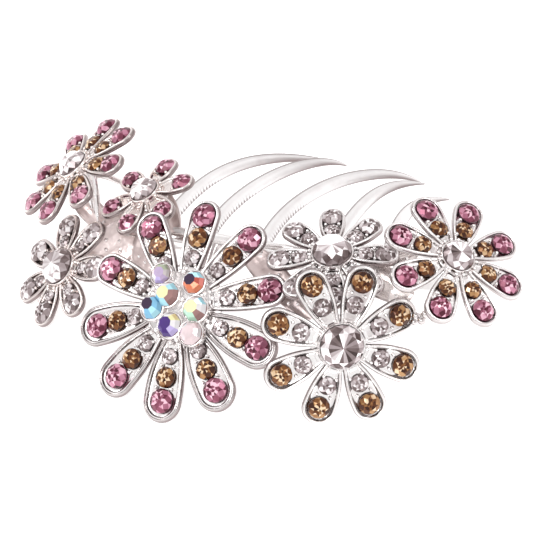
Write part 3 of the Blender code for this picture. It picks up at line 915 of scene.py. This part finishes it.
def hub_profile(radius, top):
    """A low drum with a rounded upper edge."""
    return ((radius * 0.85, -0.02), (radius, 0.12), (radius + 0.02, top - 0.35),
            (radius - 0.12, top - 0.1), (radius - 0.4, top), (radius * 0.5, top + 0.02))


def skirt_profile(radius):
    """A thin disc with a rounded edge that joins the petals' roots."""
    return ((radius * 0.8, -0.02), (radius * 0.97, 0.02), (radius, 0.16), (radius * 0.98, 0.34),
            (radius * 0.92, 0.44), (radius * 0.75, 0.47))


def cup_profile(radius, low, high):
    """A cup round a stone: outer wall, rolled lip and inner wall."""
    return ((radius + 0.05, low), (radius + 0.22, low + 0.1), (radius + 0.24, high - 0.12),
            (radius + 0.15, high), (radius + 0.03, high - 0.02), (radius - 0.04, high - 0.15),
            (radius * 0.3, high - 0.2))


def add_cluster_setting(shape, place):
    """The big flower's cups and grains."""
    for jewel in JEWELS:
        cup = cup_profile(jewel.radius, JEWEL_CUP_LOW, JEWEL_CUP_HIGH)
        revolve(shape, place, cup, JEWEL_CUP_SIDES, jewel.spot)
    for i, (x, y) in enumerate(circle(BIG.petals * 3, turn=radians(BIG.spin))):
        reach = BIG.base_radius + HUB_GRAIN_OUT * (i % 3 == 0)
        height = BIG.hub_top - HUB_GRAIN_DROPS[i % 2]
        grain(shape, place, reach * x, reach * y, height, HUB_GRAIN_RADIUS)
    for x, y in CLUSTER_GRAINS:
        grain(shape, place, x, y, BIG.hub_top + GRAIN_LIFT, CLUSTER_GRAIN_RADIUS)


def add_centre_setting(shape, place, flower):
    """The cup of a centre stone and the grains round it."""
    high = flower.hub_top + CUP_RISE
    revolve(shape, place, cup_profile(flower.centre_stone, CUP_LOW, high), CUP_SIDES)
    reach = flower.centre_stone + CENTRE_GRAIN_GAP
    for x, y in circle(flower.petals * 2, reach, 0.5, radians(flower.spin)):
        grain(shape, place, x, y, flower.hub_top + CENTRE_GRAIN_LIFT, GRAIN_RADIUS)


def build_casting(flower):
    """A flower casting: petals, hub, skirt, cups for the centre stones and grains."""
    shape = silver_shape()
    for number in range(flower.petals):
        add_petal(shape, flower, number)
        add_petal_grains(shape, flower, number)
    place = flower_place(flower)
    hub = hub_profile(flower.base_radius + HUB_MARGIN, flower.hub_top - HUB_DROP)
    revolve(shape, place, hub, HUB_SIDES, darkening=HUB_DARKENING)
    revolve(shape, place, skirt_profile(flower.base_radius * SKIRT_REACH), SKIRT_SIDES)
    if flower is BIG:
        add_cluster_setting(shape, place)
    else:
        add_centre_setting(shape, place, flower)
    metal = MATERIALS["warm" if flower.grouped else "silver"]
    finish_piece(flower.name + "_metal", shape, [metal], [flower.name + "_casting"])


# ---- stones

def stone_shape():
    """A bmesh and its layer of facet tones."""
    shape = bmesh.new()
    return shape, shape.faces.layers.float.new("tone")


def add_stone(shape, layer, place, spot, radius, low, material, random, fan=(), turn=0.0):
    """A round brilliant: girdle, main and star facets, and a table painted with reflections of the facets
    behind it.
    """
    cut = CENTRE_CUT if fan else PETAL_CUT
    sides = len(fan) or cut["sides"]
    double = 2 * sides
    girdle_top = low + GIRDLE_SHARE * radius
    crown = CROWN_SHARE * radius

    def ring(count, share, height, offset):
        return [shape.verts.new(place(spot[0] + x, spot[1] + y, height))
                for x, y in circle(count, radius * share, offset, turn)]

    def facet(corners, tones, darker=0.0):
        tone = random.choice(tones) + random.uniform(-TONE_DRIFT, TONE_DRIFT) - darker
        face = shape.faces.new(corners)
        face[layer] = tone
        face.material_index = material

    bottom = ring(double, STONE_FOOT, low, 0)
    edge_low = ring(double, 1.0, low + STONE_FOOT_HEIGHT, 0)
    edge = ring(double, 1.0, girdle_top, 0)
    middle = ring(sides, cut["middle"], girdle_top + crown * MIDDLE_RISE, 0.5)
    table = ring(sides, cut["table"], girdle_top + crown, 0)
    half_way = ring(sides, cut["table"] * STAR_SHARE, girdle_top + crown, 0.5)
    inner = ring(sides, cut["table"] * cut["inner"], girdle_top + crown * INNER_RISE, INNER_TURN)
    centre = shape.verts.new(place(spot[0], spot[1], girdle_top + crown * MIDPOINT_RISE))
    for low_row, high_row in ((bottom, edge_low), (edge_low, edge)):
        for i in range(double):
            j = (i + 1) % double
            facet((low_row[i], low_row[j], high_row[j], high_row[i]), WALL_TONES)
    foot = shape.faces.new(bottom)
    foot[layer] = FOOT_TONE
    foot.material_index = material
    for i in range(sides):
        j = (i + 1) % sides
        a, b, c = edge[2 * i], edge[2 * i + 1], edge[(2 * i + 2) % double]
        facet((a, b, middle[i]), EDGE_TONES)
        facet((b, c, middle[i]), EDGE_TONES)
        facet((a, middle[i], table[i], middle[i - 1]), KITE_TONES)
        facet((table[i], middle[i], half_way[i]), STAR_TONES)
        facet((half_way[i], middle[i], table[j]), STAR_TONES)
        # Each facet's tone is a painted reflection; centre stones take theirs from their fan.
        wedge = (fan[i] - FAN_DRIFT, fan[i], fan[i] + FAN_DRIFT) if fan else TABLE_TONES
        facet((table[i], half_way[i], inner[i]), wedge, FAN_SHADE_STREAK * bool(fan))
        facet((half_way[i], table[j], inner[j], inner[i]), wedge)
        facet((inner[i], inner[j], centre), wedge)


def build_petal_stones(flower, random):
    """The stones of every petal: one piece per CAD node."""
    materials = [MATERIALS[name] for name in COLOURS]
    grouped = stone_shape() if flower.grouped else None
    for number in range(flower.petals):
        shape, layer = grouped or stone_shape()
        place = petal_place(flower, number)
        for stone in flower.stones:
            add_stone(shape, layer, place, (stone.at, 0.0), stone.radius, SEAT_HEIGHT + SEAT_GAP,
                      COLOURS.index(stone.colour), random, turn=random.uniform(0, 1))
        if not flower.grouped:
            name = "%s_stones_%02d" % (flower.name, number + 1)
            finish_piece(name + "_cut", shape, materials, [name], smooth=False)
    if flower.grouped:
        name = flower.name + "_stone_ring"
        finish_piece(name + "_cut", grouped[0], materials, [name], smooth=False)


def build_centre_stone(flower, random):
    """The large clear stone on a flower's hub."""
    shape, layer = stone_shape()
    low = flower.hub_top + CENTRE_STONE_LIFT
    add_stone(shape, layer, flower_place(flower), (0.0, 0.0), flower.centre_stone, low, 0, random,
              fan=FANS[flower.name])
    name = flower.name + "_centre_stone"
    finish_piece(name + "_cut", shape, [MATERIALS["centre"]], [name], smooth=False)


def build_jewel(number, jewel):
    """One iridescent stone: a leaning table and crown facets of different colours."""
    shape = bmesh.new()
    layer = shape.faces.layers.float_color.new("hue")
    place = flower_place(BIG)
    low = BIG.hub_top + JEWEL_SEAT
    rows = []
    for share, lift, rise, lean in JEWEL_ROWS:
        u, v = (spot + slant * lean for spot, slant in zip(jewel.spot, jewel.lean))
        height = low + lift + rise * jewel.radius
        rows.append([shape.verts.new(place(u + x, v + y, height))
                     for x, y in circle(len(jewel.facets), jewel.radius * share, JEWEL_TURN)])
    for step, (lower, upper) in enumerate(zip(rows, rows[1:])):
        # Painted shade on the side rows; the top row keeps its full colour.
        shade_factor = 1.0 if step == JEWEL_TOP_ROW else JEWEL_SIDE_SHADE
        for i, face in enumerate(loop_faces(shape, lower, upper)):
            colour = MAUVE if step < JEWEL_WALL_ROWS else jewel.facets[i]
            face[layer] = (*(part * shade_factor for part in colour), 1.0)
    shape.faces.new(rows[0])[layer] = (*MAUVE, 1.0)
    shape.faces.new(rows[-1])[layer] = (*jewel.table, 1.0)
    name = "cluster_stone_%d" % (number + 1)
    finish_piece(name + "_cut", shape, [MATERIALS["jewel"]], [name], smooth=False)


# ---- branch frame

def add_stem(shape, start, middle, end, half):
    """A round stem along a bent route, with soft swellings at both ends."""
    stations = []
    for i in range(STEM_STEPS + 1):
        share = i / STEM_STEPS
        place = start * (1 - share) ** 2 + middle * 2 * share * (1 - share) + end * share ** 2
        tangent = ((middle - start) * (1 - share) + (end - middle) * share).normalized()
        across = tangent.cross(STEM_UPRIGHT).normalized()
        rise = across.cross(tangent).normalized()
        thick = half * (1 + STEM_SWELL * (2 * share - 1) ** 6)
        stations.append((place, across * thick, rise * thick))
    tube(shape, stations)


def spine_stations():
    """The spine: an arc in front of the bar, thinner at its two ends."""
    stations = []
    for i in range(SPINE_STEPS + 1):
        angle = SPINE_START + (SPINE_END - SPINE_START) * i / SPINE_STEPS
        outward = bar_outward(angle)
        end = SPINE_END_SCALE + (1 - SPINE_END_SCALE) * min(1.0, min(i, SPINE_STEPS - i) / 2)
        stations.append((bar_point(angle) + outward * SPINE_AHEAD, outward * STEM_HALF * SPINE_DEPTH * end,
                         UP * STEM_HALF * SPINE_HEIGHT * end))
    return stations


def add_pad(shape, flower, spine):
    """The solder pad under a flower and the stem from it to the nearest place of the spine."""
    side, up, normal = flower_axes(flower)
    top = Vector(flower.centre) - normal * SOLDER_GAP
    back = top - normal * PAD_THICKNESS
    pad = [(top + (back - top) * share, side * PAD_RADIUS * size, up * PAD_RADIUS * size)
           for share, size in PAD_PROFILE]
    tube(shape, pad, PAD_SIDES)
    nearest = min((station[0] for station in spine), key=lambda point: (point - back).length)
    inner = top - normal * (PAD_THICKNESS * 0.5)
    add_stem(shape, inner, inner - normal * STEM_DROP, nearest, STEM_HALF)


def leaf_half_width(leaf, share):
    """Half the width of a leaf at a share of its length."""
    bulge = max(0.0, sin(pi * (LEAF_ROOT_SHARE + (1 - LEAF_ROOT_SHARE) * share))) ** leaf.point
    return leaf.half_width * (LEAF_ROOT_SHARE + (1 - LEAF_ROOT_SHARE) * bulge)


def add_leaf(shape, leaf):
    """A curled leaf with a raised midrib and rows of grains from near its tip."""
    root = Vector(leaf.root)
    run = Vector(leaf.tip) - root
    across = run.cross(OUT).normalized()
    face = across.cross(run).normalized()
    if face.z < 0:
        face = -face
    layer = shape.verts.layers.float["shade"]
    tops = []
    bottoms = []
    for i in range(LEAF_STEPS + 1):
        share = i / LEAF_STEPS
        half = leaf_half_width(leaf, share)
        top_row = []
        bottom_row = []
        for column in LEAF_COLUMNS:
            rib = MIDRIB_HEIGHT * max(0.0, 1 - abs(column) * MIDRIB_STEEPNESS)
            lip = LIP_HEIGHT if LIP_INNER < abs(column) < LIP_OUTER else 0.0
            curl = LEAF_CURL * column ** 2
            base = root + run * share + across * half * column + face * LEAF_ARCH * sin(pi * share)
            top = shape.verts.new(face_to_world(base + face * (LEAF_HALF_THICKNESS + rib + lip + curl)))
            # Painted shade along the leaf's edges; the rest of its top is darkened a little.
            top[layer] = LEAF_EDGE_SHADE if abs(column) > LEAF_EDGE else LEAF_FACE_DARKENING
            top_row.append(top)
            bottom_row.append(shape.verts.new(face_to_world(base + face * (curl - LEAF_HALF_THICKNESS))))
        tops.append(top_row)
        bottoms.append(bottom_row)
    for i in range(LEAF_STEPS):
        sides = loop_faces(shape, tops[i], tops[i + 1], closed=False)
        sides += loop_faces(shape, bottoms[i], bottoms[i + 1], closed=False)
        for end in (0, -1):
            corners = (tops[i][end], tops[i + 1][end], bottoms[i + 1][end], bottoms[i][end])
            sides.append(shape.faces.new(corners))
        for part in sides:
            part.material_index = 1 + LEAF_TINTS.index(leaf.tint)
    for i in (0, -1):
        loop_faces(shape, tops[i], bottoms[i], closed=False)
    for number in range(leaf.grains):
        share = LEAF_GRAIN_FIRST - LEAF_GRAIN_STEP * number
        side = LEAF_GRAIN_SIDES[number % len(LEAF_GRAIN_SIDES)] * leaf.half_width
        spot = root + run * share + across * side + face * (LEAF_ARCH * sin(pi * share) + LEAF_GRAIN_LIFT)
        place = placed_at(spot, across, run.normalized(), face)
        grain(shape, place, 0.0, 0.0, LEAF_GRAIN_HEIGHT, LEAF_GRAIN_RADIUS)


def build_branch_frame():
    """Spine, stems, solder pads, leaves and links."""
    shape = silver_shape()
    spine = spine_stations()
    tube(shape, spine)
    for flower in FLOWERS:
        add_pad(shape, flower, spine)
    for leaf in LEAVES:
        add_leaf(shape, leaf)
    for start, middle, end, half in LINKS:
        add_stem(shape, Vector(start), Vector(middle), Vector(end), half)
    for spot, radius in KNOT:
        grain(shape, placed_at(Vector(spot), RIGHT, UP, OUT), 0.0, 0.0, 0.0, radius, KNOT_DARKENING)
    materials = [MATERIALS[tint] for tint in ("silver",) + LEAF_TINTS]
    finish_piece("branches", shape, materials, ["branch_frame"])


# ---- studio

def build_floor():
    """A wide pale floor just under the comb."""
    low = min(corner[2] for corner in CAD_BOX)
    shape = bmesh.new()
    bmesh.ops.create_grid(shape, x_segments=FLOOR_CELLS, y_segments=FLOOR_CELLS, size=FLOOR_HALF)
    mesh = bpy.data.meshes.new("floor")
    shape.to_mesh(mesh)
    shape.free()
    mesh.materials.append(floor_material())
    floor = new_object("floor", mesh)
    floor.location.z = low - FLOOR_DROP


def add_area_light(name, place, power, size):
    """A square soft box aimed at the comb."""
    data = bpy.data.lights.new(name, "AREA")
    data.energy = power
    data.size = size
    light = new_object(name, data)
    light.location = place
    light.rotation_mode = "QUATERNION"
    light.rotation_quaternion = (LIGHT_AIM - Vector(place)).to_track_quat("-Z", "Y")


def facing_node(nodes, links, direction):
    """How far a direction of the world faces a direction of the comb's face, from -1 to 1."""
    place = nodes.new("ShaderNodeTexCoord")
    facing = nodes.new("ShaderNodeVectorMath")
    facing.operation = "DOT_PRODUCT"
    facing.inputs[1].default_value = FACE.to_3x3() @ direction
    links.new(place.outputs["Generated"], facing.inputs[0])
    return facing


def build_world():
    """A light tent: bright all round, with a darker ring square to the view and soft uneven patches."""
    world = bpy.data.worlds.new("studio")
    bpy.context.scene.world = world
    world.use_nodes = True
    nodes = world.node_tree.nodes
    links = world.node_tree.links
    toward = facing_node(nodes, links, OUT)
    half = range_node(nodes, links, toward.outputs["Value"], from_min=-1.0)
    tent = ramp_node(nodes, links, half.outputs["Result"], TENT)
    sky = facing_node(nodes, links, Vector(BRIGHT_SIDE).normalized())
    bright = range_node(nodes, links, sky.outputs["Value"], from_min=BRIGHT_START, from_max=BRIGHT_FULL)
    open_tent = mixed(nodes, links, bright.outputs["Result"], tent.outputs["Color"], BRIGHT_TONE)
    patches = noise_node(nodes, links, PATCH_SCALE, PATCH_DETAIL, "Generated")
    tone = ramp_node(nodes, links, patches.outputs["Fac"], PATCH_STOPS)
    mottled = mixed(nodes, links, 1.0, open_tent, tone.outputs["Color"], "MULTIPLY")
    links.new(mottled, nodes["Background"].inputs["Color"])
    nodes["Background"].inputs["Strength"].default_value = WORLD_STRENGTH


def build_lights():
    """A light tent, soft boxes and small lamps that make the stones sparkle."""
    build_world()
    for name, place, power in BOXES:
        add_area_light(name, place, power, BOX_SIZE)
    for number, place in enumerate(LAMPS):
        add_area_light("lamp_%d" % (number + 1), place, LAMP_POWER, LAMP_SIZE)


def build_camera():
    """Looks square on to the face."""
    data = bpy.data.cameras.new("camera")
    data.sensor_width = SENSOR_WIDTH
    data.lens = SENSOR_WIDTH * CAMERA_DISTANCE / (VIEW_WIDTH * MM)
    data.clip_start = CLIP_START
    camera = new_object("camera", data)
    camera.matrix_world = FACE @ Matrix.Translation((0, 0, CAMERA_DISTANCE))
    bpy.context.scene.camera = camera


def main():
    """The studio, then the comb, its branch frame, the flowers and their stones."""
    build_camera()
    build_floor()
    build_lights()
    bpy.context.scene.view_settings.view_transform = "Standard"
    build_comb()
    build_branch_frame()
    random = Random(SEED)
    for flower in FLOWERS:
        build_casting(flower)
        build_petal_stones(flower, random)
        if flower is not BIG:
            build_centre_stone(flower, random)
    for number, jewel in enumerate(JEWELS):
        build_jewel(number, jewel)


main()
